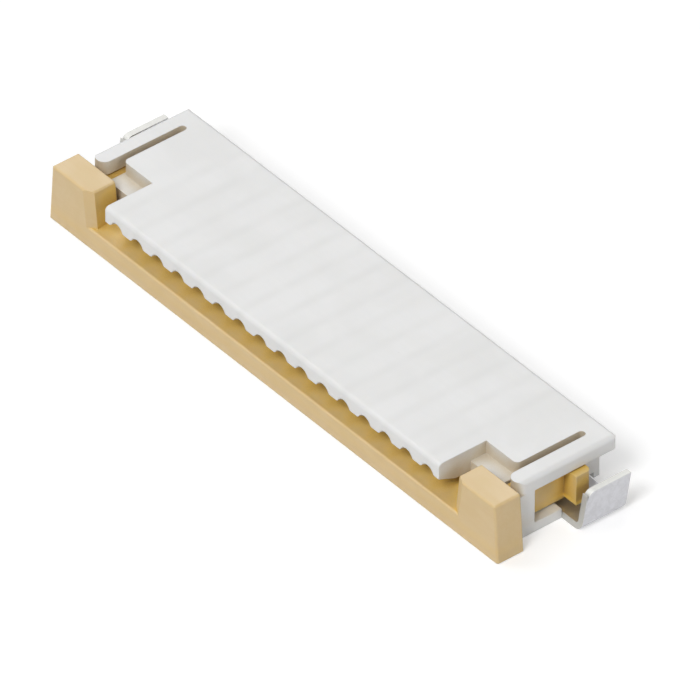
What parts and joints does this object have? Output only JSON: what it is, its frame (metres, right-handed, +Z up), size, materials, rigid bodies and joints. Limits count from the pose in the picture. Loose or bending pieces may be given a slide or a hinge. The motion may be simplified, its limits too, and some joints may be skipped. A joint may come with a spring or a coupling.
{
  "type": "fpc connector",
  "caption": "Low right-angle surface-mount connector for flat flexible circuits, with a scalloped lip, a slider that locks the film, and solder nails at its ends.",
  "frame": {"origin": "on the board's surface, at the middle of the footprint", "axes": "+X along the row of contacts, +Y from the film entry towards the solder tails, +Z up from the board"},
  "size_m": [0.0226, 0.006, 0.0021],
  "materials": {
    "housing_plastic": "satin moulded, white",
    "slider_plastic": "satin moulded, tan",
    "nail_metal": "bright tin plate",
    "contact_metal": "bright tin plate"
  },
  "bodies": {
    "housing": {"housing": "housing_plastic", "fitting_nail_left": "nail_metal", "fitting_nail_right": "nail_metal", "contact_01": "contact_metal", "contact_02": "contact_metal", "contact_03": "contact_metal", "contact_04": "contact_metal", "contact_05": "contact_metal", "contact_06": "contact_metal", "contact_07": "contact_metal", "contact_08": "contact_metal", "contact_09": "contact_metal", "contact_10": "contact_metal", "contact_11": "contact_metal", "contact_12": "contact_metal", "contact_13": "contact_metal", "contact_14": "contact_metal", "contact_15": "contact_metal", "contact_16": "contact_metal"},
    "slider": {"slider": "slider_plastic"}
  },
  "joints": [
    {"name": "slider_pull", "type": "slide", "parent": "housing", "child": "slider", "axis": [0, -1, 0], "range_m": [0, 0.0014]}
  ]
}
